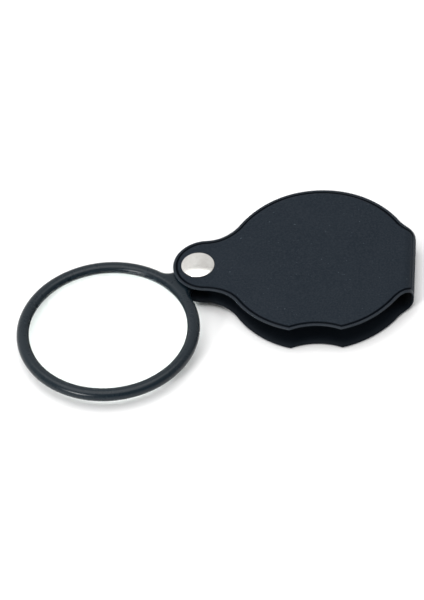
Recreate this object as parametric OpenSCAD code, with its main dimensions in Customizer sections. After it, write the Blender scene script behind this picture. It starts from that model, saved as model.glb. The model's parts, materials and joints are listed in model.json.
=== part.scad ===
// Folding hand lens in a folded leatherette sleeve.
// The sleeve is one strip folded at its end and open along both sides. A
// double-cap rivet through its two lobes is the axle of the lens frame.
// Origin: the centre of the sleeve's round body, on its underside. +X points
// to the fold, -X to the rivet, +Z up, and the thumb notch is on the -Y side.

/* [Lens] */
// Diameter of the lens
lens_d = 50.5; // [49.5:0.1:50.7]
// Thickness of the lens at its centre
lens_centre_t = 5.8; // [4:0.1:6.2]
// Thickness of the lens at its edge
lens_edge_t = 1.2; // [0.9:0.1:1.3]

/* [Lens frame] */
// Outer diameter of the moulded ring
ring_d = 57; // [56.6:0.1:57.6]
// Radial width of the moulded ring
ring_w = 3.9; // [3.75:0.05:4]
// Height of the moulded ring
ring_h = 3.9; // [3.7:0.05:3.95]
// Distance from the rivet to the centre of the lens
arm = 36.4; // [36:0.1:37.2]
// Radius of the eye around the rivet
eye_r = 5.8; // [5:0.1:6.5]
// Radius of the hollow flanks between the eye and the ring
neck_fillet_r = 4; // [3.6:0.1:6]
// Turn of the lens out of the closed sleeve
open_angle = 138; // [0:1:180]

/* [Sleeve] */
// Radius of the round body
body_r = 29.8; // [29.4:0.1:31]
// Distance from the rivet to the centre of the round body
rivet_to_body = 37.5; // [37:0.1:38]
// Distance from the centre of the body to the outside of the fold
fold_x = 29.9; // [29.8:0.1:33]
// Half width of the folded end
tail_hw = 13.4; // [12.4:0.1:14]
// Radius of the lobes around the rivet
lobe_r = 10.5; // [10:0.1:11]
// Distance from the rivet to the centre of the lobes
lobe_offset = 2.75; // [1.5:0.05:3]
// Radius of the hollow waist between the lobes and the body
waist_r = 12.5; // [10:0.5:16]
// Thickness over the edges of the body
sleeve_t = 9.2; // [9:0.1:11]
// Thickness over the lobes
lobe_t = 6.1; // [6.05:0.05:6.6]
// Swell of the padded panels above their edges
pad = 0.3; // [0.1:0.05:0.5]

/* [Thumb notch] */
// Half width of the notch
notch_hw = 8; // [6:0.2:9]
// Depth of the notch from its shoulders
notch_depth = 1.7; // [0.8:0.1:2]
// Position of the notch along the sleeve
notch_x = 0; // [-4:0.5:4]

/* [Leatherette] */
// Thickness of the outer leatherette
skin_t = 0.4; // [0.35:0.05:0.45]
// Thickness of a panel at its edge
panel_t = 1; // [0.95:0.05:1]
// Thickness of the lining
lining_t = 0.25; // [0.2:0.05:0.3]
// Distance of the welded groove from the edge
weld_inset = 0.9; // [0.8:0.05:1.3]
// Width of the welded groove
weld_w = 0.5; // [0.3:0.1:0.6]
// Depth of the welded groove
weld_depth = 0.25; // [0.15:0.05:0.3]

/* [Rivet] */
// Radius of the rivet's caps
cap_r = 5.2; // [4.8:0.1:5.3]
// Height of the domed caps
cap_h = 1; // [0.9:0.05:1.2]
// Radius of the socket tube, the axle of the lens frame
tube_r = 2; // [1.8:0.05:2.2]
// Running clearance of the lens frame on the tube
run_clear = 0.06; // [0.03:0.01:0.1]

/* [Hidden] */
$fn = 96;
big = 200;
fit_gap = 0.02;
overcut = 1;

black_leatherette = "#1c2228";
black_lining = "#0c0f12";
grey_board = "#5d5a55";
black_plastic = "#20262b";
clear_glass = [0.85, 0.95, 0.93, 0.3];
nickel = "#c9c7c2";

// Sleeve in side view
rivet_x = -rivet_to_body;
mid_z = pad + sleeve_t / 2;
body_half = sleeve_t / 2;
lobe_half = lobe_t / 2;
cover_t = panel_t - lining_t;
cap_margin = 0.3;
opening_end = 30;
bend_start_x = rivet_x + cap_r + cap_margin;
bend_end_x = rivet_x + opening_end;
bend_steps = 14;
fold_corner_r = 3.2;
fold_corner_steps = 8;

// Sleeve in plan view
lobe_x = rivet_x + lobe_offset;
corner_r = 3.4;
flank_r = 9;
smallest_corner_r = 0.4;
arc_step = 4;
pad_inset = weld_inset + weld_w;
board_margin = 0.3;
board_inset = pad_inset + board_margin;
lining_inset = 0.15;
board_fold_gap = 1;
notch_r = (notch_hw * notch_hw + notch_depth * notch_depth) / (2 * notch_depth);
notch_y = notch_depth - notch_r - sqrt(body_r * body_r - notch_hw * notch_hw);

// Lens frame
lens_r = lens_d / 2;
ring_r = ring_d / 2;
clear_r = ring_r - ring_w;
ring_half = ring_h / 2;
section_corner_r = 1.75;
section_steps = 6;
neck_bite = 0.4;

// Lens faces: two spherical caps on a cylindrical edge
lens_sag = (lens_centre_t - lens_edge_t) / 2;
face_r = (lens_r * lens_r + lens_sag * lens_sag) / (2 * lens_sag);
dome_fn = 300;
seat_gap = 0.05;
seat_r = lens_r + seat_gap;
lip_z = lens_edge_t / 2 + sqrt(face_r * face_r - clear_r * clear_r)
      - sqrt(face_r * face_r - lens_r * lens_r) + fit_gap;
retainer_lap = 0.95;
retainer_recess = 0.15;
retainer_chamfer = 0.3;
retainer_r = lens_r + retainer_lap;
retainer_top_z = -lip_z;
retainer_bottom_z = retainer_recess - ring_half;

// Rivet
stud_r = 1.3;
cap_rim_w = 0.9;
flange_r = cap_r - cap_rim_w;
flange_t = 0.35;
cap_edge_t = 0.35;
cap_dome_h = cap_h - cap_edge_t;
dome_r = (cap_r * cap_r + cap_dome_h * cap_dome_h) / (2 * cap_dome_h);
socket_floor_t = 0.3;

// Points along an arc, from angle a0 to angle a1.
function arc(centre, r, a0, a1) =
    let (n = max(2, ceil(abs(a1 - a0) / arc_step)))
    [for (i = [0 : n])
        let (a = a0 + (a1 - a0) * i / n)
        centre + r * [cos(a), sin(a)]];

// Centre of the circle of radius r that touches two circles from outside, on
// the left of the line from the first to the second.
function fillet_centre(c0, r0, c1, r1, r) =
    let (d = norm(c1 - c0),
         u = (c1 - c0) / d,
         a = ((r0 + r) * (r0 + r) - (r1 + r) * (r1 + r) + d * d) / (2 * d),
         h = sqrt((r0 + r) * (r0 + r) - a * a))
    c0 + a * u + h * [-u[1], u[0]];

function angle_to(from, to) = atan2(to[1] - from[1], to[0] - from[0]);

function mirrored_y(points) =
    [for (i = [len(points) - 1 : -1 : 0]) [points[i][0], -points[i][1]]];

// The sleeve's outline on the +Y side, from the fold round to the lobe's tip,
// drawn in from the edge by inset. A deep inset leaves the fold's corner sharp.
function half_outline(inset) =
    let (body = [0, 0],
         lobe = [lobe_x, 0],
         corner = [fold_x - corner_r, tail_hw - corner_r],
         flank = fillet_centre(body, body_r, corner, corner_r, flank_r),
         waist = fillet_centre(lobe, lobe_r, body, body_r, waist_r),
         round_corner = corner_r - inset > smallest_corner_r,
         sharp_start = -acos((fold_x - inset - flank[0]) / (flank_r + inset)))
    concat(round_corner ? arc(corner, corner_r - inset, 0, angle_to(corner, flank) - arc_step) : [],
           arc(flank, flank_r + inset, round_corner ? angle_to(flank, corner) : sharp_start,
               angle_to(flank, body)),
           arc(body, body_r - inset, angle_to(body, flank) + arc_step, angle_to(body, waist) - arc_step),
           arc(waist, waist_r + inset, angle_to(waist, body), angle_to(waist, lobe)),
           arc(lobe, lobe_r - inset, angle_to(lobe, waist) + arc_step, 180));

module sleeve_outline(inset) {
    upper = half_outline(inset);
    difference() {
        polygon(concat(upper, mirrored_y([for (i = [0 : len(upper) - 2]) upper[i]])));
        translate([notch_x, notch_y]) circle(notch_r + inset);
    }
}

module sleeve_plan(inset) {
    translate([0, 0, -big / 2])
        linear_extrude(big)
            sleeve_outline(inset);
}

// How far the sleeve has opened from its lobes towards its full thickness.
function opening(x) = min(max((x - bend_start_x) / (bend_end_x - bend_start_x), 0), 1);

// Height of a surface over the middle plane, at a depth below the edges'
// surface. The padded surface swells by lift away from the lobes.
function half_height(x, depth, lift) =
    lobe_half + (body_half - lobe_half) * sin(90 * opening(x)) - depth
    + lift * (1 - cos(180 * opening(x))) / 2;

// Upper half of the side view, from beyond the lobes round to the fold.
function upper_profile(depth, lift) =
    let (r = fold_corner_r - depth,
         cx = fold_x - fold_corner_r,
         cz = body_half - fold_corner_r)
    concat([[-big, half_height(-big, depth, lift)]],
           [for (i = [0 : bend_steps])
               let (x = bend_start_x + (bend_end_x - bend_start_x) * i / bend_steps)
               [x, half_height(x, depth, lift)]],
           lift > 0 ? [[big, half_height(big, depth, lift)]]
                    : [for (i = [0 : fold_corner_steps])
                          let (a = 90 - 90 * i / fold_corner_steps)
                          [cx + r * cos(a), cz + r * sin(a)]]);

// Everything inside the surface at a depth, as a wide prism along Y.
module side_prism(depth, lift = 0) {
    upper = upper_profile(depth, lift);
    translate([0, big / 2, mid_z])
        rotate([90, 0, 0])
            linear_extrude(big)
                polygon(concat(upper, mirrored_y(upper)));
}

// A layer of the sleeve between two depths, in from its edge by inset.
module sleeve_layer(outer_depth, inner_depth, inset, lift = 0) {
    intersection() {
        difference() {
            side_prism(outer_depth, lift);
            side_prism(inner_depth);
        }
        sleeve_plan(inset);
    }
}

module axle_hole(r) {
    translate([rivet_x, 0, mid_z - sleeve_t]) cylinder(h = 2 * sleeve_t, r = r);
}

// Space for the boards between the leatherette and the lining.
module board_space(outer_depth, inner_depth) {
    intersection() {
        sleeve_layer(outer_depth, inner_depth, board_inset, pad);
        translate([fold_x - panel_t - board_fold_gap - big, -big / 2, mid_z - big / 2]) cube(big);
    }
}

module weld_groove() {
    intersection() {
        difference() {
            side_prism(-overcut);
            side_prism(weld_depth);
        }
        difference() {
            sleeve_plan(weld_inset);
            sleeve_plan(pad_inset);
        }
    }
}

module sleeve_cover() {
    color(black_leatherette)
        difference() {
            union() {
                sleeve_layer(0, cover_t, 0);
                sleeve_layer(0, cover_t, pad_inset, pad);
            }
            board_space(skin_t, panel_t);
            weld_groove();
            axle_hole(tube_r + fit_gap);
        }
}

module sleeve_lining() {
    color(black_lining)
        difference() {
            sleeve_layer(cover_t, panel_t, lining_inset);
            axle_hole(tube_r + fit_gap);
        }
}

// Stiffening board of the upper panel (side = 1) or the lower one (side = -1).
module board(side) {
    color(grey_board)
        difference() {
            intersection() {
                board_space(skin_t, cover_t);
                translate([-big / 2, -big / 2, side > 0 ? mid_z : mid_z - big]) cube(big);
            }
            axle_hole(tube_r + fit_gap);
        }
}

// Places the parts of the lens arm, drawn closed about the rivet, in the open pose.
module on_arm() {
    translate([rivet_x, 0, mid_z]) rotate([0, 0, -open_angle]) children();
}

// One quarter of the ring's rounded section, about its corner at angle a.
function section_corner(a) =
    let (x = sign(cos(a + 45)) * (ring_w / 2 - section_corner_r),
         z = sign(sin(a + 45)) * (ring_half - section_corner_r))
    [for (i = [0 : section_steps])
        let (t = a + 90 * i / section_steps)
        [x + section_corner_r * cos(t), z + section_corner_r * sin(t)]];

module frame_ring() {
    rotate_extrude()
        translate([ring_r - ring_w / 2, 0])
            polygon([for (a = [0 : 90 : 270]) each section_corner(a)]);
}

// Neck with hollow flanks, running from inside the eye to inside the ring.
module neck() {
    eye = [0, 0];
    ring = [arm, 0];
    flank = fillet_centre(eye, eye_r - neck_bite, ring, ring_r - neck_bite, neck_fillet_r);
    half = concat([[0, 0]],
                  arc(flank, neck_fillet_r, angle_to(flank, eye), angle_to(flank, ring)),
                  [ring - [ring_r - ring_w / 2, 0]]);
    translate([0, 0, -ring_half])
        linear_extrude(ring_h)
            polygon(concat(half, mirrored_y(half)));
}

module lens_frame() {
    color(black_plastic)
        on_arm()
            difference() {
                union() {
                    translate([arm, 0, 0]) frame_ring();
                    neck();
                    translate([0, 0, -ring_half]) cylinder(h = ring_h, r = eye_r);
                }
                translate([arm, 0, -lip_z]) cylinder(h = 2 * lip_z, r = seat_r);
                translate([arm, 0, -big]) cylinder(h = big - lip_z, r = retainer_r);
                translate([0, 0, -big / 2]) cylinder(h = big, r = tube_r + run_clear);
            }
}

module lens() {
    face_z = lens_centre_t / 2 - face_r;
    color(clear_glass)
        on_arm()
            translate([arm, 0, 0])
                intersection() {
                    translate([0, 0, face_z]) sphere(face_r, $fn = dome_fn);
                    translate([0, 0, -face_z]) sphere(face_r, $fn = dome_fn);
                    translate([0, 0, -lens_centre_t]) cylinder(h = 2 * lens_centre_t, r = lens_r);
                }
}

module retaining_ring() {
    color(black_plastic)
        on_arm()
            translate([arm, 0, 0])
                rotate_extrude()
                    polygon([[clear_r + retainer_chamfer, retainer_bottom_z],
                             [retainer_r - fit_gap, retainer_bottom_z],
                             [retainer_r - fit_gap, retainer_top_z - fit_gap],
                             [clear_r, retainer_top_z - fit_gap],
                             [clear_r, retainer_bottom_z + retainer_chamfer]]);
}

// Places a rivet piece drawn on z = 0 on the upper lobe.
module on_lobe() {
    translate([rivet_x, 0, mid_z + lobe_half]) children();
}

module under_lobe() {
    translate([rivet_x, 0, mid_z - lobe_half]) mirror([0, 0, 1]) children();
}

// Domed shell that closes over the flange of a rivet piece.
module rivet_cap() {
    difference() {
        union() {
            cylinder(h = cap_edge_t, r = cap_r);
            intersection() {
                translate([0, 0, cap_h - dome_r]) sphere(dome_r, $fn = dome_fn);
                cylinder(h = cap_h, r = cap_r);
            }
        }
        translate([0, 0, -overcut]) cylinder(h = overcut + flange_t + fit_gap, r = flange_r + fit_gap);
    }
}

module rivet_top_cap() {
    color(nickel) on_lobe() rivet_cap();
}

module rivet_bottom_cap() {
    color(nickel) under_lobe() rivet_cap();
}

module rivet_stud() {
    stud_length = lobe_t - 2 * socket_floor_t;
    color(nickel)
        on_lobe() {
            cylinder(h = flange_t, r = flange_r);
            translate([0, 0, -stud_length]) cylinder(h = stud_length + flange_t / 2, r = stud_r);
        }
}

module rivet_socket() {
    color(nickel)
        under_lobe()
            difference() {
                union() {
                    cylinder(h = flange_t, r = flange_r);
                    translate([0, 0, fit_gap - lobe_t]) cylinder(h = lobe_t, r = tube_r);
                }
                translate([0, 0, -lobe_t - overcut])
                    cylinder(h = lobe_t + overcut - socket_floor_t, r = stud_r + fit_gap);
            }
}

sleeve_cover();
sleeve_lining();
board(1);  // upper_board
board(-1);  // lower_board
lens_frame();
lens();
retaining_ring();
rivet_top_cap();
rivet_stud();
rivet_bottom_cap();
rivet_socket();
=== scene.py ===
"""Folding hand lens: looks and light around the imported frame.

Lengths are millimetres until a mesh is made, and metres for the camera and the lights.
"""

import json
import math

import bmesh
import bpy
import numpy as np
from mathutils import Matrix, Vector
from mathutils.geometry import delaunay_2d_cdt


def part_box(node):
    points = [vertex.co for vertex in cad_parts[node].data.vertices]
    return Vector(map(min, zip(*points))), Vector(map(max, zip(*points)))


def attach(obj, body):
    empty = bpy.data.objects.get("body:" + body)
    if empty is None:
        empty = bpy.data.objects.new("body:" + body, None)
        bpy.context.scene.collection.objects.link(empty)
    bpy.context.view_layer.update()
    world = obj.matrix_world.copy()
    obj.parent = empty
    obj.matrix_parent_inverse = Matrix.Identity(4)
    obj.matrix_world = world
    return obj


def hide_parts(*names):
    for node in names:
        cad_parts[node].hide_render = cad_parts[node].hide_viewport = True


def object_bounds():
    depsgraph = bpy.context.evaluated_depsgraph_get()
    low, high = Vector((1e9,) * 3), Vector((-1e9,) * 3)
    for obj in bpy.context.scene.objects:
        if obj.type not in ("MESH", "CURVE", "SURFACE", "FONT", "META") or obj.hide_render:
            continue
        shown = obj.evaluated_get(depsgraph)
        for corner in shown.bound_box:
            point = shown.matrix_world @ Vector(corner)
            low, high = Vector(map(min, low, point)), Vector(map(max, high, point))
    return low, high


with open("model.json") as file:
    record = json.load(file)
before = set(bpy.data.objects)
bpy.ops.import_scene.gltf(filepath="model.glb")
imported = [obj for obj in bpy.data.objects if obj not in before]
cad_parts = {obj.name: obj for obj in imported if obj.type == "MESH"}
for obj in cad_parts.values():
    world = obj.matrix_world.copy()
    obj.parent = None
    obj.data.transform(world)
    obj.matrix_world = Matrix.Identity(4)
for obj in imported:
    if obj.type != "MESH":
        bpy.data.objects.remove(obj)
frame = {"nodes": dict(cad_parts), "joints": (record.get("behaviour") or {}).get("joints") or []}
CAD_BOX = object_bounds()
MM = 0.001

# ---- Places taken from the frame ----
HINGE = Vector(frame["joints"][0]["pos_m"]) / MM
COVER_LOW, COVER_HIGH = (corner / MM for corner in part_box("sleeve_cover"))
LENS_LOW, LENS_HIGH = (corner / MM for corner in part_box("lens"))
CAP_LOW, CAP_HIGH = (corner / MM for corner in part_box("rivet_top_cap"))
ARM_LOW, ARM_HIGH = (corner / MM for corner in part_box("lens_frame"))
MID_Z = HINGE.z
LENS_CENTRE = (LENS_LOW + LENS_HIGH) / 2
LENS_OFFSET = LENS_CENTRE - HINGE
ARM_LENGTH = LENS_OFFSET.length
ARM_ANGLE = math.atan2(LENS_OFFSET.y, LENS_OFFSET.x)
CAP_RADIUS = (CAP_HIGH.x - CAP_LOW.x) / 2
CAP_HEIGHT = CAP_HIGH.z - CAP_LOW.z
LOBE_HALF = CAP_LOW.z - MID_Z
BODY_RADIUS = COVER_HIGH.y
FOLD_X = COVER_HIGH.x
LENS_RADIUS = (LENS_HIGH.x - LENS_LOW.x) / 2
LENS_HALF = (LENS_HIGH.z - LENS_LOW.z) / 2
RING_HALF = (ARM_HIGH.z - ARM_LOW.z) / 2
RING_RADIUS = LENS_CENTRE.y - ARM_LOW.y

# ---- Sleeve: thicknesses ----
PANEL_T = 1.0
LINING_T = 0.25
SKIN_T = 0.4
THINNEST_SKIN = 0.05
LAYER_GAP = 0.01
BOARD_GAP_OVER = 0.03
BOARD_GAP_UNDER = 0.02
PAD = 0.3
BODY_HALF = COVER_HIGH.z - MID_Z - PAD

# ---- Sleeve: outline ----
WAIST_R = 12.5
LOBE_R = 10.5
LOBE_X = COVER_LOW.x + LOBE_R
PANEL_CORNER_R = 2.6
PANEL_OVERRUN = 0.6
NOTCH_X = 0.0
NOTCH_HALF_WIDTH = 8.0
NOTCH_DEPTH = 1.7
BOARD_INSET = 5.0
AXLE_HOLE_R = 2.02
HOLE_SPACING = 0.4

# ---- Sleeve: opening, fold, thinning and sag ----
OPENING_GAP = 0.3
OPENING_LENGTH = 30.0
OPENING_START = HINGE.x + CAP_RADIUS + OPENING_GAP
OPENING_END = HINGE.x + OPENING_LENGTH
FOLD_DIP = 0.25
FOLD_DIP_LENGTH = 22.0
FOLD_LENGTH = 4.0
FOLD_FULLNESS = 2.5
FOLD_HALF_WIDTH = 12.3
FOLD_STEPS = 400
WALL_THINNING = 0.4
WALL_THINNING_LEAD = 1.0
WALL_THINNING_LENGTH = 3.0
WALL_REACH = 11
EDGE_THINNING = 0.6
EDGE_THINNING_WIDTH = 1.1
EDGE_SAG = 0.45
SAG_FROM_MIDDLE = 6.0
SAG_WIDTH = 22.0
SAG_LENGTH = 16.0
SAG_FADE_X = 12.0

# ---- Sleeve: outer surface ----
RIM_DROP = 0.04
RIM_DROP_WIDTH = 1.5
RIM_ROUND = 0.22
GROOVE_INSET = 1.15
GROOVE_HALF_WIDTH = 0.38
GROOVE_DEPTH = 0.42
FOLD_GROOVE_LOSS = 0.75
FOLD_GROOVE_LENGTH = 2.0
FOLD_GROOVE_MARGIN = 0.1
FOLD_GROOVE_WIDTH = 0.6
POCKET_MARGIN = 0.75
SHOULDER_WIDTH = 0.9
CROWN_WIDTH = 11.0
PAD_END_LEAD = 5.0
PAD_END_LENGTH = 6.0
LOBE_PAD = 0.14
LOBE_PAD_WIDTH = 1.2
WAVE_HEIGHT = 0.022
WAVE_PEAK = 1.6
WAVES_INSET = 3.0
WAVES_WIDTH = 6.0

# ---- Lens frame ----
RING_WIDTH = 3.9
CLEAR_RADIUS = RING_RADIUS - RING_WIDTH
SEAT_RADIUS = LENS_RADIUS + 0.05
SEAT_HALF = 0.72
RECESS_RADIUS = LENS_RADIUS + 0.95
OUTER_ROUND = RING_HALF
INNER_ROUND = 1.6
RECESS_ROUND = 0.25
EYE_RADIUS = 5.8
EYE_HOLE_R = 2.06
EYE_HOLE_ROUND = 0.15
NECK_FILLET_R = 4.0

# ---- Mesh making ----
SAME_POINT = 1e-4
ROW_STEP = 0.866
KEEP_OFF_SHARE = 0.55
DELAUNAY_EPSILON = 1e-6
TRIANGLES_INSIDE = 1
WELD_DISTANCE = 0.002
SLIVER_SHARE = 0.2


# ---------------------------------------------------------------- plane geometry

def arc(centre, r, a0, a1, spacing):
    """Points along an arc, its angles in radians."""
    count = max(2, math.ceil(abs(a1 - a0) * r / spacing))
    a = np.linspace(a0, a1, count + 1)
    return np.c_[centre[0] + r * np.cos(a), centre[1] + r * np.sin(a)]


def line(p, q, spacing):
    """Points along a straight line."""
    count = max(1, math.ceil(math.dist(p, q) / spacing))
    return np.linspace(p, q, count + 1)


def angle_to(p, q):
    """Angle of the direction from p to q."""
    return math.atan2(q[1] - p[1], q[0] - p[0])


def fillet_centre(c0, r0, c1, r1, r):
    """Centre of the circle of radius r touching two circles from outside, left of the line c0 to c1."""
    d = math.dist(c0, c1)
    u = (np.array(c1, float) - c0) / d
    a = ((r0 + r) ** 2 - (r1 + r) ** 2 + d * d) / (2 * d)
    h = math.sqrt((r0 + r) ** 2 - a * a)
    return np.array(c0, float) + a * u + h * np.array([-u[1], u[0]])


def clean(points, closed=False):
    """The same path without repeated points."""
    kept = [points[0]]
    for p in points[1:]:
        if math.dist(p, kept[-1]) > SAME_POINT:
            kept.append(p)
    if closed and math.dist(kept[0], kept[-1]) < SAME_POINT:
        kept.pop()
    return np.array(kept)


def distance(points, path, closed=False):
    """Distance of each point to a path."""
    a = path if closed else path[:-1]
    b = np.roll(path, -1, axis=0) if closed else path[1:]
    ab = b - a
    length2 = (ab ** 2).sum(1)
    out = np.empty(len(points))
    chunk = 1500
    for i in range(0, len(points), chunk):
        p = points[i:i + chunk, None, :]
        t = np.clip(((p - a) * ab).sum(2) / length2, 0, 1)
        out[i:i + chunk] = np.sqrt((((p - a) - t[..., None] * ab) ** 2).sum(2).min(1))
    return out


def inside(points, loop):
    """Whether each point lies in a closed loop."""
    x, y = points[:, 0, None], points[:, 1, None]
    x0, y0 = loop[:, 0], loop[:, 1]
    x1, y1 = np.roll(x0, -1), np.roll(y0, -1)
    crosses = (y0 > y) != (y1 > y)
    with np.errstate(divide="ignore", invalid="ignore"):
        left = x < (x1 - x0) * (y - y0) / (y1 - y0) + x0
    return (crosses & left).sum(1) % 2 == 1


def smoothstep(t):
    """Eases from 0 to 1 as t runs from 0 to 1."""
    t = np.clip(t, 0, 1)
    return t * t * (3 - 2 * t)


def rounded(d, radius):
    """Drop of a rounded edge at a distance in from it."""
    near = np.clip(radius - d, 0, radius)
    return radius - np.sqrt(radius ** 2 - near ** 2)


def triangulate(outline, paths, holes, spacing, keep_off):
    """Triangles over a closed outline, with its inner paths and holes as edges.

    A hexagonal grid of points fills the rest, no nearer to any edge than keep_off.
    """
    points, edges = [], []

    def add(path, closed):
        first = len(points)
        points.extend(map(tuple, path))
        count = len(path)
        last = count if closed else count - 1
        edges.extend((first + i, first + (i + 1) % count) for i in range(last))

    add(outline, True)
    for path, closed in paths:
        add(path, closed)
    for hole in holes:
        add(hole, True)
    low, high = outline.min(0), outline.max(0)
    rows = []
    for k, y in enumerate(np.arange(low[1], high[1], spacing * ROW_STEP)):
        x = np.arange(low[0] + spacing * 0.5 * (k % 2), high[0], spacing)
        rows.append(np.c_[x, np.full(len(x), y)])
    grid = np.concatenate(rows)
    grid = grid[inside(grid, outline)]
    near = np.full(len(grid), np.inf)
    for path, closed in [(outline, True)] + list(paths) + [(hole, True) for hole in holes]:
        near = np.minimum(near, distance(grid, path, closed))
    points.extend(map(tuple, grid[near > keep_off]))
    vectors = [Vector((float(x), float(y))) for x, y in points]
    verts, _, faces, *_ = delaunay_2d_cdt(vectors, edges, [], TRIANGLES_INSIDE, DELAUNAY_EPSILON, False)
    verts = np.array([tuple(v) for v in verts])
    faces = np.array(faces)
    middle = verts[faces].mean(1)
    keep = inside(middle, outline)
    for hole in holes:
        keep &= ~inside(middle, hole)
    return verts, faces[keep]


# ---------------------------------------------------------------- mesh building

class Builder:
    """Collects sheets and strips in millimetres, then welds them into one object."""

    def __init__(self):
        self.verts, self.faces, self.values = [], [], {}

    def sheet(self, positions, faces, **values):
        """Adds a mesh, with named values for its points."""
        first = len(self.verts)
        self.verts.extend(map(tuple, positions))
        self.faces.extend(tuple(int(i) + first for i in face) for face in faces)
        for name, column in values.items():
            self.values.setdefault(name, {}).update({first + i: float(v) for i, v in enumerate(column)})

    def strip(self, a, b, closed=True):
        """Quads between two rows of matching points."""
        n = len(a)
        last = n if closed else n - 1
        faces = [(i, (i + 1) % n, n + (i + 1) % n, n + i) for i in range(last)]
        self.sheet(np.concatenate([a, b]), faces)

    def lathe(self, profile, segments, centre=(0, 0, 0)):
        """A surface turned about Z. A point at radius 0 closes to a pole."""
        a = np.linspace(0, 2 * math.pi, segments, endpoint=False)
        rows = [np.c_[centre[0] + r * np.cos(a),
                      centre[1] + r * np.sin(a),
                      np.full(segments, centre[2] + z)] for r, z in profile]
        for lower, upper in zip(rows[:-1], rows[1:]):
            self.strip(lower, upper)

    def make(self, name, body, material, sharp_deg=35, transform=None):
        """One welded object, riding on a body of the frame."""
        mesh = bpy.data.meshes.new(name)
        mesh.from_pydata([(x * MM, y * MM, z * MM) for x, y, z in self.verts], [], self.faces)
        for key, values in self.values.items():
            layer = mesh.attributes.new(key, "FLOAT", "POINT")
            layer.data.foreach_set("value", [values.get(i, 0.0) for i in range(len(self.verts))])
        bm = bmesh.new()
        bm.from_mesh(mesh)
        bmesh.ops.remove_doubles(bm, verts=bm.verts, dist=WELD_DISTANCE * MM)
        bmesh.ops.dissolve_degenerate(bm, edges=bm.edges, dist=WELD_DISTANCE * MM * SLIVER_SHARE)
        bmesh.ops.recalc_face_normals(bm, faces=bm.faces)
        if transform is not None:
            bmesh.ops.transform(bm, matrix=transform, verts=bm.verts)
        for face in bm.faces:
            face.smooth = True
        limit = math.radians(sharp_deg)
        for edge in bm.edges:
            edge.smooth = len(edge.link_faces) == 2 and edge.calc_face_angle(0) < limit
        bm.to_mesh(mesh)
        bm.free()
        piece = bpy.data.objects.new(name, mesh)
        bpy.context.scene.collection.objects.link(piece)
        mesh.materials.append(material)
        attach(piece, body)
        return piece


# ---------------------------------------------------------------- sleeve shape

FOLD_START_X = FOLD_X - FOLD_LENGTH
FOLD_TURN = np.linspace(0, math.pi / 2, FOLD_STEPS)
FOLD_CURVE = np.c_[FOLD_START_X + FOLD_LENGTH * np.cos(FOLD_TURN) ** (2 / FOLD_FULLNESS),
                   (BODY_HALF - FOLD_DIP) * np.sin(FOLD_TURN) ** (2 / FOLD_FULLNESS)]
FOLD_RUN = np.concatenate([[0], np.cumsum(np.hypot(*np.diff(FOLD_CURVE, axis=0).T))])
FOLD_NORMAL = np.gradient(FOLD_CURVE, FOLD_RUN, axis=0)[:, ::-1] * [1, -1]
FOLD_MIDDLE = FOLD_START_X + FOLD_RUN[-1]
FLANK_R = ((FOLD_MIDDLE ** 2 + FOLD_HALF_WIDTH ** 2 - BODY_RADIUS ** 2)
           / (2 * (BODY_RADIUS - FOLD_HALF_WIDTH)))
FLANK = np.array([FOLD_MIDDLE, FOLD_HALF_WIDTH + FLANK_R])
WAIST = fillet_centre((LOBE_X, 0), LOBE_R, (0, 0), BODY_RADIUS, WAIST_R)
NOTCH_R = (NOTCH_HALF_WIDTH ** 2 + NOTCH_DEPTH ** 2) / (2 * NOTCH_DEPTH)
NOTCH = np.array([NOTCH_X, math.sqrt(BODY_RADIUS ** 2 - NOTCH_HALF_WIDTH ** 2) - NOTCH_DEPTH + NOTCH_R])
PANEL_END = FOLD_X + PANEL_OVERRUN
CORNER = np.array([PANEL_END - PANEL_CORNER_R,
                   FLANK[1] - math.sqrt((FLANK_R + PANEL_CORNER_R) ** 2
                                        - (FLANK[0] - PANEL_END + PANEL_CORNER_R) ** 2)])


def body_stretch(inset, notched, spacing):
    """The round body's edge from the tail to the waist, with the thumb notch if asked."""
    start, stop = angle_to((0, 0), FLANK), angle_to((0, 0), WAIST)
    r = BODY_RADIUS - inset
    if not notched:
        return arc((0, 0), r, start, stop, spacing)
    notch_r = NOTCH_R + inset
    d = float(np.hypot(*NOTCH))
    u = NOTCH / d
    a = (r * r - notch_r * notch_r + d * d) / (2 * d)
    h = math.sqrt(r * r - a * a)
    right = a * u + h * np.array([u[1], -u[0]])
    left = a * u - h * np.array([u[1], -u[0]])
    return np.concatenate([arc((0, 0), r, start, angle_to((0, 0), right), spacing),
                           arc(NOTCH, notch_r, angle_to(NOTCH, right), angle_to(NOTCH, left), spacing),
                           arc((0, 0), r, angle_to((0, 0), left), stop, spacing)])


def lobe_stretch(inset, spacing):
    """The edge from the waist round one side of the rivet's lobe."""
    lobe = (LOBE_X, 0)
    waist_from, waist_to = angle_to(WAIST, (0, 0)), angle_to(WAIST, lobe)
    return np.concatenate([arc(WAIST, WAIST_R + inset, waist_from, waist_to, spacing),
                           arc(lobe, LOBE_R - inset, angle_to(lobe, WAIST), math.pi, spacing)])


def both_sides(side):
    """One path from the fold round the lobe and back: the +Y side, then the -Y side with its notch."""
    far, near = side(False), side(True)
    return clean(np.concatenate([far, (near * [1, -1])[::-1]]))


def strip_path(inset, spacing):
    """The strip's edge over one panel and half of the fold's wall, in the flat strip."""
    def side(notched):
        flank_end = angle_to(FLANK, (0, 0)) + 2 * math.pi
        return np.concatenate([arc(FLANK, FLANK_R + inset, 1.5 * math.pi, flank_end, spacing),
                               body_stretch(inset, notched, spacing),
                               lobe_stretch(inset, spacing)])
    return both_sides(side)


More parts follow.
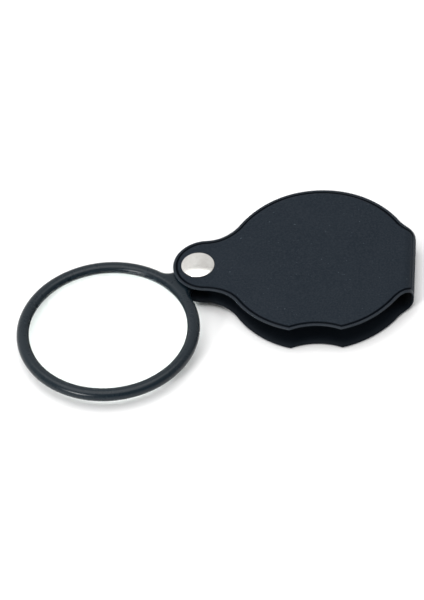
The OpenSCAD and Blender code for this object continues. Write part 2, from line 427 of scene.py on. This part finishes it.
def panel_loop(inset, spacing):
    """A closed loop inside one panel, parallel to its edge and to the fold."""
    def side(notched):
        x = PANEL_END - inset
        corner_end = angle_to(CORNER, FLANK)
        flank_end = angle_to(FLANK, (0, 0)) + 2 * math.pi
        return np.concatenate([line((x, 0), (x, CORNER[1]), spacing),
                               arc(CORNER, PANEL_CORNER_R - inset, 0, corner_end, spacing),
                               arc(FLANK, FLANK_R + inset, corner_end + math.pi, flank_end, spacing),
                               body_stretch(inset, notched, spacing),
                               lobe_stretch(inset, spacing)])
    return clean(both_sides(side), closed=True)


def half_height(x):
    """The panels' outside over the middle plane. The sleeve opens from its pinched lobes."""
    t = np.clip((x - OPENING_START) / (OPENING_END - OPENING_START), 0, 1)
    opened = LOBE_HALF + (BODY_HALF - LOBE_HALF) * np.sin(t * math.pi / 2)
    return opened - FOLD_DIP * smoothstep((x - FOLD_START_X + FOLD_DIP_LENGTH) / FOLD_DIP_LENGTH)


# The panels' height along X, softened so that it has no kinks
PROFILE_STEP = 0.1
PROFILE_START_X = -70
PROFILE_OVERRUN = 5
PROFILE_X = np.arange(PROFILE_START_X, FOLD_START_X + PROFILE_OVERRUN, PROFILE_STEP)
SOFTNESS = 1.3
KERNEL_REACH = 40
KERNEL = np.exp(-0.5 * (np.arange(-KERNEL_REACH, KERNEL_REACH + 1) * PROFILE_STEP / SOFTNESS) ** 2)
PROFILE_Z = np.convolve(np.pad(half_height(PROFILE_X), KERNEL_REACH, mode="edge"),
                        KERNEL / KERNEL.sum(), mode="valid")
PROFILE_SLOPE = np.gradient(PROFILE_Z, PROFILE_X)


def sag(u, y):
    """How far the upper panel hangs down along its open near side."""
    reach = smoothstep((-y - SAG_FROM_MIDDLE) / SAG_WIDTH)
    rise = smoothstep((u - OPENING_START) / SAG_LENGTH)
    fall = 1 - smoothstep((u - SAG_FADE_X) / SAG_LENGTH)
    along = rise * fall
    return EDGE_SAG * reach * along


def place(u, y, h, side):
    """Carries points of the flat strip to space.

    h is the height over the lining's face. side is 1 for the upper panel and -1 for the lower.
    """
    run = np.clip(FOLD_MIDDLE - u, 0, FOLD_RUN[-1])
    bent = u > FOLD_START_X
    slope = np.interp(u, PROFILE_X, PROFILE_SLOPE)
    x = np.where(bent, np.interp(run, FOLD_RUN, FOLD_CURVE[:, 0]), u)
    z = np.where(bent, np.interp(run, FOLD_RUN, FOLD_CURVE[:, 1]), np.interp(u, PROFILE_X, PROFILE_Z))
    nx = np.where(bent, np.interp(run, FOLD_RUN, FOLD_NORMAL[:, 0]), -slope / np.hypot(slope, 1))
    nz = np.where(bent, np.interp(run, FOLD_RUN, FOLD_NORMAL[:, 1]), 1 / np.hypot(slope, 1))
    depth = h - PANEL_T
    return np.c_[x + nx * depth, y, MID_Z + side * (z + nz * depth) - sag(u, y) * (side > 0)]


def lining_base(u, edge):
    """Inner face of the sleeve: raised where the strip is thin, at its edge and round the fold."""
    at_edge = EDGE_THINNING * (1 - smoothstep(edge / EDGE_THINNING_WIDTH))
    at_wall = WALL_THINNING * smoothstep((u - FOLD_START_X + WALL_THINNING_LEAD) / WALL_THINNING_LENGTH)
    return np.maximum(at_edge, at_wall)


def waves(u, y):
    """Slight unevenness between -WAVE_PEAK and WAVE_PEAK, in waves about 15 to 50 mm long."""
    long_waves = np.sin(u * 0.21 + 0.8 * np.sin(y * 0.13)) * np.sin(y * 0.17 + 1.1)
    short_waves = np.sin(u * 0.43 - y * 0.31)
    return long_waves + 0.6 * short_waves


def padding(panel, u, y, ramp):
    """How far the padded panel stands over the plain strip."""
    within = panel - GROOVE_INSET
    swell = 0.5 * smoothstep(within / SHOULDER_WIDTH) + 0.5 * smoothstep(within / CROWN_WIDTH)
    swell = swell * (1 - smoothstep((u - FOLD_START_X + PAD_END_LEAD) / PAD_END_LENGTH))
    from_rivet = np.hypot(u - HINGE.x, y)
    lobe_pad = LOBE_PAD * smoothstep((from_rivet - CAP_RADIUS) / LOBE_PAD_WIDTH)
    return swell * (lobe_pad * (1 - ramp) + PAD * ramp)


def cover_height(edge, panel, u, y):
    """Outer surface of the leatherette over the lining's face."""
    h = PANEL_T - RIM_DROP * (1 - smoothstep(edge / RIM_DROP_WIDTH)) - rounded(edge, RIM_ROUND)
    groove = np.clip(1 - np.abs(panel - GROOVE_INSET) / GROOVE_HALF_WIDTH, 0, 1)
    along_fold = (smoothstep((u - FOLD_START_X) / FOLD_GROOVE_LENGTH)
                  * smoothstep((edge - GROOVE_INSET - FOLD_GROOVE_MARGIN) / FOLD_GROOVE_WIDTH))
    h = h - GROOVE_DEPTH * smoothstep(groove) * (1 - FOLD_GROOVE_LOSS * along_fold)
    ramp = smoothstep((u - OPENING_START) / (OPENING_END - OPENING_START))
    h = h + padding(panel, u, y, ramp)
    inner_part = smoothstep((panel - WAVES_INSET) / WAVES_WIDTH)
    return h + WAVE_HEIGHT * (waves(u, y) - WAVE_PEAK) * inner_part * ramp


def cover_inner(outer, base, panel):
    """Inner face of the leatherette, which leaves a pocket for the board."""
    pocket = panel > GROOVE_INSET + POCKET_MARGIN
    inner = np.where(pocket, outer - SKIN_T, base + LINING_T + LAYER_GAP)
    return np.minimum(inner, outer - THINNEST_SKIN)


def axle_hole():
    """The hole for the rivet, in the flat strip."""
    return arc((HINGE.x, 0), AXLE_HOLE_R, 0, 2 * math.pi, HOLE_SPACING)[:-1]


def sheet_of_strip(insets, loops, spacing, fine):
    """Triangles over one panel and half the wall.

    Each point comes with its distances to the strip's edge and to the panel's outline.
    """
    edge_path = strip_path(insets[0], fine)
    wall_y = [side * (FOLD_HALF_WIDTH - i) for side in (-1, 1) for i in insets[1:]]
    wall_y = np.concatenate([wall_y, np.arange(-WALL_REACH, WALL_REACH + 1)])
    wall_y = np.unique(np.round(wall_y, 6))
    first_y, last_y = edge_path[-1][1], edge_path[0][1]
    corner_gap = 0.001
    wall_y = wall_y[(wall_y > first_y + corner_gap) & (wall_y < last_y - corner_gap)]
    closing = np.c_[np.full(len(wall_y), FOLD_MIDDLE), wall_y]
    outline = np.concatenate([edge_path, closing])
    paths = [(strip_path(i, fine), False) for i in insets[1:]]
    paths += [(panel_loop(i, fine), True) for i in loops]
    hole = axle_hole()
    points, faces = triangulate(outline, paths, [hole], spacing, KEEP_OFF_SHARE * spacing)
    edge = distance(points, strip_path(0, fine))
    panel_outline = panel_loop(0, fine)
    panel = distance(points, panel_outline, True) * np.where(inside(points, panel_outline), 1, -1)
    return points, faces, edge, panel, edge_path, hole


def nearest(points, row):
    """Index of the mesh point under each point of a row."""
    return [int(np.argmin(np.hypot(*(points - p).T))) for p in row]


def join_levels(built, points, rows, first, second, side):
    """Walls between two levels of one sheet, along its outline and round its hole."""
    for row, closed in rows:
        at = nearest(points, row)
        built.strip(place(*row.T, first[at], side), place(*row.T, second[at], side), closed)


def sleeve_cover(material):
    """The folded strip. The loops lie close together where they cross the groove."""
    insets = (0, 0.03, 0.08, 0.15, 0.24, 0.42, 0.64)
    loops = (0.77, 0.86, 0.95, 1.05, 1.15, 1.25, 1.35, 1.44, 1.56, 1.75, 2.05)
    points, faces, edge, panel, path, hole = sheet_of_strip(insets, loops, spacing=0.95, fine=0.5)
    u, y = points.T
    outer = cover_height(edge, panel, u, y)
    inner = cover_inner(outer, lining_base(u, edge), panel)
    built = Builder()
    for side in (1, -1):
        built.sheet(place(u, y, outer, side), faces, edge_mm=edge, panel_mm=panel)
        built.sheet(place(u, y, inner, side), faces, edge_mm=edge * 0, panel_mm=panel * 0)
        join_levels(built, points, ((path, False), (hole, True)), outer, inner, side)
    piece = built.make("leatherette_sleeve", "sleeve", material, sharp_deg=50)
    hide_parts("sleeve_cover")


def sleeve_lining(material):
    """The smooth inner face of the sleeve."""
    insets = (0.2, 0.5, 1.2)
    points, faces, edge, _, path, hole = sheet_of_strip(insets, (), spacing=1.6, fine=0.8)
    built = Builder()
    for side in (1, -1):
        base = lining_base(points[:, 0], edge)
        top = base + LINING_T - LAYER_GAP
        for level in (base, top):
            built.sheet(place(*points.T, level, side), faces)
        join_levels(built, points, ((path, False), (hole, True)), base, top, side)
    piece = built.make("sleeve_liner", "sleeve", material)
    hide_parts("sleeve_lining")


def stiffening_board(name, node, side, material):
    """A board that fills the pocket between the leatherette and the lining."""
    fine, spacing = 0.8, 2.0
    loop = panel_loop(BOARD_INSET, fine)
    hole = axle_hole()
    points, faces = triangulate(loop, [], [hole], spacing, spacing / 2)
    panel = distance(points, panel_loop(0, fine), True)
    upper = cover_height(panel, panel, *points.T) - SKIN_T - BOARD_GAP_OVER
    lower = lining_base(points[:, 0], panel) + LINING_T + BOARD_GAP_UNDER
    built = Builder()
    for level in (upper, lower):
        built.sheet(place(*points.T, level, side), faces)
    join_levels(built, points, ((loop, True), (hole, True)), upper, lower, side)
    piece = built.make(name, "sleeve", material)
    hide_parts(node)


# ---------------------------------------------------------------- lens arm shape

ARM_PLACE = Matrix.Translation(HINGE * MM) @ Matrix.Rotation(ARM_ANGLE, 4, "Z")
RING_AT = (ARM_LENGTH, 0.0)


def arm_contour(inset, spacing):
    """The arm's outside in plan: round the ring, down the neck's hollow flanks and round the eye."""
    flank = fillet_centre((0, 0), EYE_RADIUS, RING_AT, RING_RADIUS, NECK_FILLET_R)
    ring_from = angle_to(RING_AT, flank)
    half = np.concatenate([arc((0, 0), EYE_RADIUS - inset, math.pi, angle_to((0, 0), flank), spacing),
                           arc(flank, NECK_FILLET_R + inset, angle_to(flank, (0, 0)),
                               angle_to(flank, RING_AT), spacing),
                           arc(RING_AT, RING_RADIUS - inset, ring_from, 0, spacing)])
    return clean(np.concatenate([half, (half * [1, -1])[::-1]]), closed=True)


def lens_frame(material):
    """The moulded ring with its neck and eye, and the lens's seat inside."""
    segments = 240
    fine, hole_fine = 0.6, 0.35
    spacing, keep_off = 0.8, 0.35
    turn = np.linspace(0, 2 * math.pi, segments, endpoint=False)

    def circle(centre, r):
        return np.c_[centre[0] + r * np.cos(turn), centre[1] + r * np.sin(turn)]

    insets = (0.03, 0.09, 0.18, 0.31, 0.48, 0.72, 1.05, 1.45)
    inner_insets = (0.03, 0.1, 0.22, 0.4, 0.65, 0.95)
    contour = arm_contour(0, fine)
    hole = arc((0, 0), EYE_HOLE_R, 0, 2 * math.pi, hole_fine)[:-1]
    built = Builder()
    rims = {}
    for side, inner_r, inner_round in ((1, CLEAR_RADIUS, INNER_ROUND), (-1, RECESS_RADIUS, RECESS_ROUND)):
        inner = circle(RING_AT, inner_r)
        widest = inner_round + 0.2
        paths = [(arm_contour(i, fine), True) for i in insets]
        paths += [(circle(RING_AT, inner_r + i), True) for i in inner_insets if i <= widest]
        points, faces = triangulate(contour, paths, [inner, hole], spacing, keep_off)
        outer_d = distance(points, contour, True)
        inner_d = np.abs(np.hypot(points[:, 0] - ARM_LENGTH, points[:, 1]) - inner_r)
        hole_d = np.abs(np.hypot(*points.T) - EYE_HOLE_R)
        drop = (rounded(outer_d, OUTER_ROUND) + rounded(inner_d, inner_round)
                + rounded(hole_d, EYE_HOLE_ROUND))
        z = side * (RING_HALF - drop)
        built.sheet(np.c_[points, z], faces)
        for key, row in (("contour", contour), ("inner", inner), ("hole", hole)):
            rims[key, side] = np.c_[row, z[nearest(points, row)]]
    built.strip(rims["contour", 1], rims["contour", -1])
    built.strip(rims["hole", 1], rims["hole", -1])
    seat = ((CLEAR_RADIUS, SEAT_HALF), (SEAT_RADIUS, SEAT_HALF),
            (SEAT_RADIUS, -SEAT_HALF), (RECESS_RADIUS, -SEAT_HALF))
    seat_rows = [np.c_[circle(RING_AT, r), np.full(segments, z)] for r, z in seat]
    rows = [rims["inner", 1]] + seat_rows + [rims["inner", -1]]
    for upper, lower in zip(rows[:-1], rows[1:]):
        built.strip(upper, lower)
    piece = built.make("lens_ring_and_neck", "lens_arm", material, transform=ARM_PLACE)
    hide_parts("lens_frame")


def dome_profile(radii, top, sphere_r):
    """Radius and height of points on a spherical cap whose crown is at height top."""
    return [(float(r), float(top - sphere_r + math.sqrt(sphere_r ** 2 - r * r))) for r in radii]


def lens(material):
    """Two equal spherical faces with a straight edge between them."""
    edge_half = 0.6
    rings, segments = 40, 240
    bulge = LENS_HALF - edge_half
    face_r = (LENS_RADIUS ** 2 + bulge ** 2) / (2 * bulge)
    radii = LENS_RADIUS * np.sin(np.linspace(0.0, math.pi / 2, rings))
    face = dome_profile(radii, LENS_HALF, face_r)
    profile = face + [(r, -z) for r, z in reversed(face)]
    built = Builder()
    built.lathe(profile, segments, (ARM_LENGTH, 0, 0))
    piece = built.make("magnifying_lens", "lens_arm", material, transform=ARM_PLACE)
    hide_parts("lens")


def rivet_cap(name, node, side, material):
    """Domed shell with a rolled edge, hollow underneath for the flange."""
    roll = 0.3
    roll_from = 0.35
    wall, cavity_h = 0.88, 0.37
    dome_steps, roll_steps, segments = 24, 7, 128
    dome_h = CAP_HEIGHT - roll
    dome_from = CAP_RADIUS - roll
    dome_r = (dome_from ** 2 + dome_h ** 2) / (2 * dome_h)
    dome = dome_profile(np.linspace(0, dome_from, dome_steps), CAP_HEIGHT, dome_r)
    edge = [(dome_from + roll * math.sin(a), roll * math.cos(a))
            for a in np.linspace(roll_from, math.pi / 2, roll_steps)]
    cavity_r = CAP_RADIUS - wall
    under = [(CAP_RADIUS, 0.0), (cavity_r, 0.0), (cavity_r, cavity_h), (0.0, cavity_h)]
    built = Builder()
    built.lathe(dome + edge + under, segments)
    flip = Matrix.Identity(4) if side > 0 else Matrix.Rotation(math.pi, 4, "X")
    at = Vector((HINGE.x, HINGE.y, MID_Z + side * LOBE_HALF)) * MM
    cap_place = Matrix.Translation(at) @ flip
    piece = built.make(name, "sleeve", material, transform=cap_place)
    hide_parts(node)


# ---------------------------------------------------------------- materials

# Inputs 6 and 7 of a Mix node are its two colours, and output 2 is the mixed colour
MIX_FIRST, MIX_SECOND, MIXED = 6, 7, 2


class Shader:
    """A short way to wire one Principled material."""

    def __init__(self, name):
        self.material = bpy.data.materials.new(name)
        self.material.use_nodes = True
        self.tree = self.material.node_tree
        self.tree.nodes.clear()
        self.output = self.node("ShaderNodeOutputMaterial")
        self.surface = self.node("ShaderNodeBsdfPrincipled")
        self.link(self.surface, "BSDF", self.output, "Surface")
        self.coords = self.node("ShaderNodeTexCoord")

    def node(self, kind, **settings):
        made = self.tree.nodes.new(kind)
        for key, value in settings.items():
            if key in made.inputs:
                made.inputs[key].default_value = value
            else:
                setattr(made, key, value)
        return made

    def link(self, a, out, b, into):
        self.tree.links.new(a.outputs[out], b.inputs[into])

    def set(self, **values):
        for key, value in values.items():
            self.surface.inputs[key.replace("_", " ")].default_value = value

    def texture(self, kind, per_mm, stretch=(1, 1, 1), **settings):
        """A texture in object space, its scale in cells per millimetre."""
        mapping = self.node("ShaderNodeMapping")
        mapping.inputs["Scale"].default_value = stretch
        self.link(self.coords, "Object", mapping, "Vector")
        made = self.node(kind, Scale=per_mm / MM, **settings)
        self.link(mapping, "Vector", made, "Vector")
        return made

    def attribute(self, name):
        return self.node("ShaderNodeAttribute", attribute_name=name)

    def ramp(self, source, out, low, high, first=0.0, last=1.0):
        """Maps the range from low to high onto the range from first to last."""
        made = self.node("ShaderNodeMapRange")
        for key, value in (("From Min", low), ("From Max", high), ("To Min", first), ("To Max", last)):
            made.inputs[key].default_value = value
        self.link(source, out, made, "Value")
        return made

    def maths(self, operation, a, a_out, b, b_out=None):
        made = self.node("ShaderNodeMath", operation=operation)
        self.link(a, a_out, made, 0)
        if b_out is None:
            made.inputs[1].default_value = b
        else:
            self.link(b, b_out, made, 1)
        return made

    def mix(self, factor, out, first, second):
        made = self.node("ShaderNodeMix", data_type="RGBA")
        self.link(factor, out, made, 0)
        for socket, value in ((MIX_FIRST, first), (MIX_SECOND, second)):
            if isinstance(value, tuple):
                made.inputs[socket].default_value = (*value, 1)
            else:
                self.link(value, MIXED, made, socket)
        return made

    def paint(self, mixed):
        """Makes a mix the base colour."""
        self.link(mixed, MIXED, self.surface, "Base Color")

    def bump(self, source, out, height_mm, previous=None):
        made = self.node("ShaderNodeBump", Distance=height_mm * MM, Strength=1.0)
        self.link(source, out, made, "Height")
        if previous is not None:
            self.link(previous, "Normal", made, "Normal")
        return made


def leatherette():
    """Grained vinyl, smoother and shinier where the weld pressed it flat, with painted shade in the weld's
    groove and a lighter rim that is rubbed wear mixed with a painted highlight.
    """
    s = Shader("leatherette")
    cells = s.texture("ShaderNodeTexVoronoi", per_mm=1.9, feature="DISTANCE_TO_EDGE", Randomness=0.9)
    grain = s.texture("ShaderNodeTexNoise", per_mm=1.1, Detail=5.0, Roughness=0.6)
    speckle = s.texture("ShaderNodeTexNoise", per_mm=1.7, Detail=2.0, Roughness=0.7)
    mottle = s.texture("ShaderNodeTexNoise", per_mm=0.09, Detail=3.0, Roughness=0.55)
    lint = s.texture("ShaderNodeTexNoise", per_mm=1.3, Detail=1.0)
    edge = s.attribute("edge_mm")
    panel = s.attribute("panel_mm")

    dark_vinyl, light_vinyl = (0.0024, 0.0074, 0.0140), (0.0044, 0.0096, 0.0164)
    speckle_colour, lint_colour = (0.0135, 0.0190, 0.0265), (0.08, 0.10, 0.12)
    # Painted shade for the weld's groove, and rubbed wear mixed with a painted highlight for the rim
    groove_shade_colour, rim_wear_and_highlight_colour = (0.0015, 0.0022, 0.0035), (0.024, 0.030, 0.037)
    base = s.mix(s.ramp(mottle, "Fac", low=0.35, high=0.7), "Result", dark_vinyl, light_vinyl)
    speckled = s.ramp(speckle, "Fac", low=0.36, high=0.68, last=0.7)
    toned = s.mix(speckled, "Result", base, speckle_colour)
    linted = s.mix(s.ramp(lint, "Fac", low=0.74, high=0.82, last=0.5), "Result", toned, lint_colour)

    # Painted shade: the groove is darkened in colour, fully along the panels' sides and more weakly along
    # the fold
    from_groove = s.maths("ABSOLUTE", s.maths("SUBTRACT", panel, "Fac", GROOVE_INSET), 0, 0.0)
    groove_shade_mask = s.ramp(from_groove, 0, low=0.28, high=GROOVE_HALF_WIDTH + 0.12, first=0.74, last=0.0)
    along_edge = s.ramp(edge, "Fac", low=GROOVE_INSET + 0.5, high=GROOVE_INSET + 0.9, first=1.0, last=0.25)
    dark = s.maths("MULTIPLY", groove_shade_mask, "Result", along_edge, "Result")
    groove_shaded = s.mix(dark, 0, linted, groove_shade_colour)
    # Rubbed wear mixed with a painted highlight: the rounded rim edge is lightened in colour
    rim_wear_and_highlight = s.ramp(edge, "Fac", low=0.45, high=0.1, last=0.45)
    s.paint(s.mix(rim_wear_and_highlight, "Result", groove_shaded, rim_wear_and_highlight_colour))

    weld_end = {"low": GROOVE_INSET - 0.2, "high": GROOVE_INSET + 0.2}
    s.link(s.ramp(edge, "Fac", first=0.40, last=0.58, **weld_end), "Result", s.surface, "Roughness")
    shine = s.ramp(edge, "Fac", first=0.26, last=0.14, **weld_end)
    # The painted groove shade also takes the specular level out of the groove
    unshaded = s.ramp(dark, 0, low=0.0, high=1.0, first=1.0, last=0.0)
    dull_wall = s.ramp(panel, "Fac", low=-1.5, high=1.2, first=0.25)
    shaded = s.maths("MULTIPLY", shine, "Result", unshaded, "Result")
    s.link(s.maths("MULTIPLY", shaded, 0, dull_wall, "Result"), 0, s.surface, "Specular IOR Level")

    creases = s.bump(s.ramp(cells, "Distance", low=0.0, high=0.22), "Result", height_mm=0.014)
    s.link(s.bump(grain, "Fac", height_mm=0.03, previous=creases), "Normal", s.surface, "Normal")
    return s.material


def lining():
    s = Shader("lining_vinyl")
    weave = s.texture("ShaderNodeTexNoise", per_mm=2.4, Detail=4.0, Roughness=0.65)
    blotch = s.texture("ShaderNodeTexNoise", per_mm=0.12, Detail=2.0)
    dark, light = (0.0010, 0.0032, 0.0065), (0.0030, 0.0060, 0.0100)
    s.paint(s.mix(s.ramp(blotch, "Fac", low=0.3, high=0.7), "Result", dark, light))
    dullness = s.ramp(weave, "Fac", low=0.3, high=0.7, first=0.6, last=0.78)
    s.link(dullness, "Result", s.surface, "Roughness")
    s.set(Specular_IOR_Level=0.15)
    s.link(s.bump(weave, "Fac", height_mm=0.02), "Normal", s.surface, "Normal")
    return s.material


def moulded_plastic():
    s = Shader("moulded_plastic")
    satin = s.texture("ShaderNodeTexNoise", per_mm=2.2, Detail=2.0, Roughness=0.5)
    flow = s.texture("ShaderNodeTexNoise", per_mm=0.15, Detail=2.0)
    scuffs = s.texture("ShaderNodeTexNoise", per_mm=0.25, Detail=4.0, Roughness=0.6)
    dark, light = (0.0040, 0.0098, 0.0150), (0.0058, 0.0120, 0.0175)
    s.paint(s.mix(s.ramp(flow, "Fac", low=0.3, high=0.7), "Result", dark, light))
    dullness = s.ramp(scuffs, "Fac", low=0.35, high=0.75, first=0.26, last=0.32)
    s.link(dullness, "Result", s.surface, "Roughness")
    s.set(Specular_IOR_Level=0.27)
    s.link(s.bump(satin, "Fac", height_mm=0.0012), "Normal", s.surface, "Normal")
    return s.material


def lens_glass():
    """Clear glass that lets shadow rays through, so that the table under it stays lit."""
    s = Shader("lens_glass")
    s.set(Base_Color=(0.965, 0.992, 0.982, 1), Roughness=0.0, IOR=1.5, Transmission_Weight=1.0)
    smear = s.texture("ShaderNodeTexNoise", per_mm=0.06, Detail=2.0)
    s.link(s.ramp(smear, "Fac", low=0.45, high=0.75, last=0.015), "Result", s.surface, "Roughness")
    clear = s.node("ShaderNodeBsdfTransparent")
    clear.inputs["Color"].default_value = (0.93, 0.97, 0.955, 1)
    path = s.node("ShaderNodeLightPath")
    either = s.node("ShaderNodeMixShader")
    s.link(path, "Is Shadow Ray", either, 0)
    s.link(s.surface, 0, either, 1)
    s.link(clear, 0, either, 2)
    s.link(either, 0, s.output, "Surface")
    return s.material


def nickel(name, roughness):
    """Plated metal, lightly brushed along X."""
    s = Shader(name)
    brushed = s.texture("ShaderNodeTexNoise", per_mm=2.2, stretch=(0.06, 1, 1), Detail=5.0, Roughness=0.7)
    tarnish = s.texture("ShaderNodeTexNoise", per_mm=0.35, Detail=3.0)
    bright, dull = (0.69, 0.68, 0.655), (0.60, 0.585, 0.56)
    s.paint(s.mix(s.ramp(tarnish, "Fac", low=0.3, high=0.75), "Result", bright, dull))
    dullness = s.ramp(brushed, "Fac", low=0.3, high=0.7, first=roughness, last=roughness + 0.12)
    s.link(dullness, "Result", s.surface, "Roughness")
    s.set(Metallic=1.0)
    s.link(s.bump(brushed, "Fac", height_mm=0.0025), "Normal", s.surface, "Normal")
    return s.material


def greyboard():
    s = Shader("greyboard")
    fibres = s.texture("ShaderNodeTexNoise", per_mm=0.9, stretch=(1, 0.25, 1), Detail=6.0, Roughness=0.7)
    dark, light = (0.26, 0.24, 0.20), (0.40, 0.37, 0.32)
    s.paint(s.mix(s.ramp(fibres, "Fac", low=0.3, high=0.7), "Result", dark, light))
    s.set(Roughness=0.9)
    s.link(s.bump(fibres, "Fac", height_mm=0.03), "Normal", s.surface, "Normal")
    return s.material


# ---------------------------------------------------------------- stage

# The camera's lens is in millimetres, its distance in metres and its angles in degrees
CAMERA_LENS = 600.0
CAMERA_DISTANCE = 3.107
CAMERA_AZIMUTH = 6.355
CAMERA_ELEVATION = 47.28
CAMERA_ROLL = -5.588
CAMERA_AIM = Vector((-33.33, -7.455, 0.0)) * MM

# For each axis, where the world's light starts and stops changing, and its strength at both ends
WORLD_FADES = (("Y", -0.6, 0.5, 0.36, 1.15),
               ("X", -0.7, 0.8, 1.0, 0.68),
               ("Z", 0.74, 0.87, 1.0, 0.65))

# Name, size, watts, place from the object's middle, and whether it is aimed at the object
SOFTBOXES = (("softbox_over", (1.2, 1.0), 8.9, (-0.10, -0.02, 1.0), False),
             ("softbox_front_left", (0.26, 0.10), 6.0, (-0.58, -0.79, 0.43), True))

FLOOR_HALF = 30.0


def make_camera():
    """The photograph's viewing angle, as it was fitted to the object's outlines."""
    a, e, r = (math.radians(v) for v in (CAMERA_AZIMUTH, CAMERA_ELEVATION, CAMERA_ROLL))
    back = Vector((math.sin(a) * math.cos(e), -math.cos(a) * math.cos(e), math.sin(e)))
    right = Vector((math.cos(a), math.sin(a), 0))
    up = back.cross(right)
    rolled_right = right * math.cos(r) + up * math.sin(r)
    rolled_up = up * math.cos(r) - right * math.sin(r)
    camera = bpy.data.objects.new("camera", bpy.data.cameras.new("camera"))
    camera.data.lens = CAMERA_LENS
    camera.matrix_world = Matrix.Translation(CAMERA_AIM + back * CAMERA_DISTANCE) @ Matrix(
        (rolled_right, rolled_up, back)).transposed().to_4x4()
    bpy.context.scene.collection.objects.link(camera)
    bpy.context.scene.camera = camera


def make_light(name, size, watts, place_m, aim_m):
    """A rectangular softbox, facing straight down unless it has an aim."""
    light = bpy.data.lights.new(name, "AREA")
    light.shape = "RECTANGLE"
    light.size, light.size_y = size
    light.energy = watts
    lamp = bpy.data.objects.new(name, light)
    lamp.location = place_m
    if aim_m is not None:
        lamp.rotation_euler = (Vector(aim_m) - Vector(place_m)).to_track_quat("-Z", "Y").to_euler()
    bpy.context.scene.collection.objects.link(lamp)


def make_world():
    """Light tent: bright behind and at the left, dimmer overhead, in front and at the right."""
    world = bpy.data.worlds.new("studio")
    world.use_nodes = True
    tree = world.node_tree
    background = tree.nodes["Background"]
    background.inputs["Color"].default_value = (1, 1, 1, 1)
    coords = tree.nodes.new("ShaderNodeTexCoord")
    split = tree.nodes.new("ShaderNodeSeparateXYZ")
    tree.links.new(coords.outputs["Generated"], split.inputs[0])
    total = None
    for axis, low, high, at_low, at_high in WORLD_FADES:
        fade = tree.nodes.new("ShaderNodeMapRange")
        fade.interpolation_type = "SMOOTHSTEP"
        settings = (("From Min", low), ("From Max", high), ("To Min", at_low), ("To Max", at_high))
        for key, value in settings:
            fade.inputs[key].default_value = value
        tree.links.new(split.outputs[axis], fade.inputs["Value"])
        if total is None:
            total = fade
            continue
        product = tree.nodes.new("ShaderNodeMath")
        product.operation = "MULTIPLY"
        tree.links.new(total.outputs[0], product.inputs[0])
        tree.links.new(fade.outputs[0], product.inputs[1])
        total = product
    tree.links.new(total.outputs[0], background.inputs["Strength"])
    bpy.context.scene.world = world


def make_stage():
    """The pale floor, the world and the softboxes."""
    mesh = bpy.data.meshes.new("floor")
    corners = [(x * FLOOR_HALF, y * FLOOR_HALF, 0) for x, y in ((-1, -1), (1, -1), (1, 1), (-1, 1))]
    mesh.from_pydata(corners, [], [(0, 1, 2, 3)])
    floor = bpy.data.objects.new("floor", mesh)
    bpy.context.scene.collection.objects.link(floor)
    paper = Shader("floor_paper")
    paper.set(Base_Color=(0.96, 0.96, 0.96, 1), Roughness=0.9, Specular_IOR_Level=0.1)
    mesh.materials.append(paper.material)
    make_world()
    middle = (CAD_BOX[0] + CAD_BOX[1]) / 2
    for name, size, watts, offset, aimed in SOFTBOXES:
        make_light(name, size, watts, middle + Vector(offset), middle if aimed else None)
    bpy.context.scene.view_settings.view_transform = "Standard"


# ---------------------------------------------------------------- assembly

leather_material = leatherette()
plastic_material = moulded_plastic()
board_material = greyboard()
nickel_material = nickel("rivet_nickel", 0.16)
steel_material = nickel("rivet_steel", 0.34)

sleeve_cover(leather_material)
sleeve_lining(lining())
stiffening_board("upper_stiffener", "upper_board", 1, board_material)
stiffening_board("lower_stiffener", "lower_board", -1, board_material)
lens_frame(plastic_material)
lens(lens_glass())
rivet_cap("upper_rivet_cap", "rivet_top_cap", 1, nickel_material)
rivet_cap("lower_rivet_cap", "rivet_bottom_cap", -1, nickel_material)

for node, material in (("retaining_ring", plastic_material),
                       ("rivet_stud", steel_material),
                       ("rivet_socket", steel_material)):
    slots = frame["nodes"][node].data.materials
    slots.clear()
    slots.append(material)

make_camera()
make_stage()
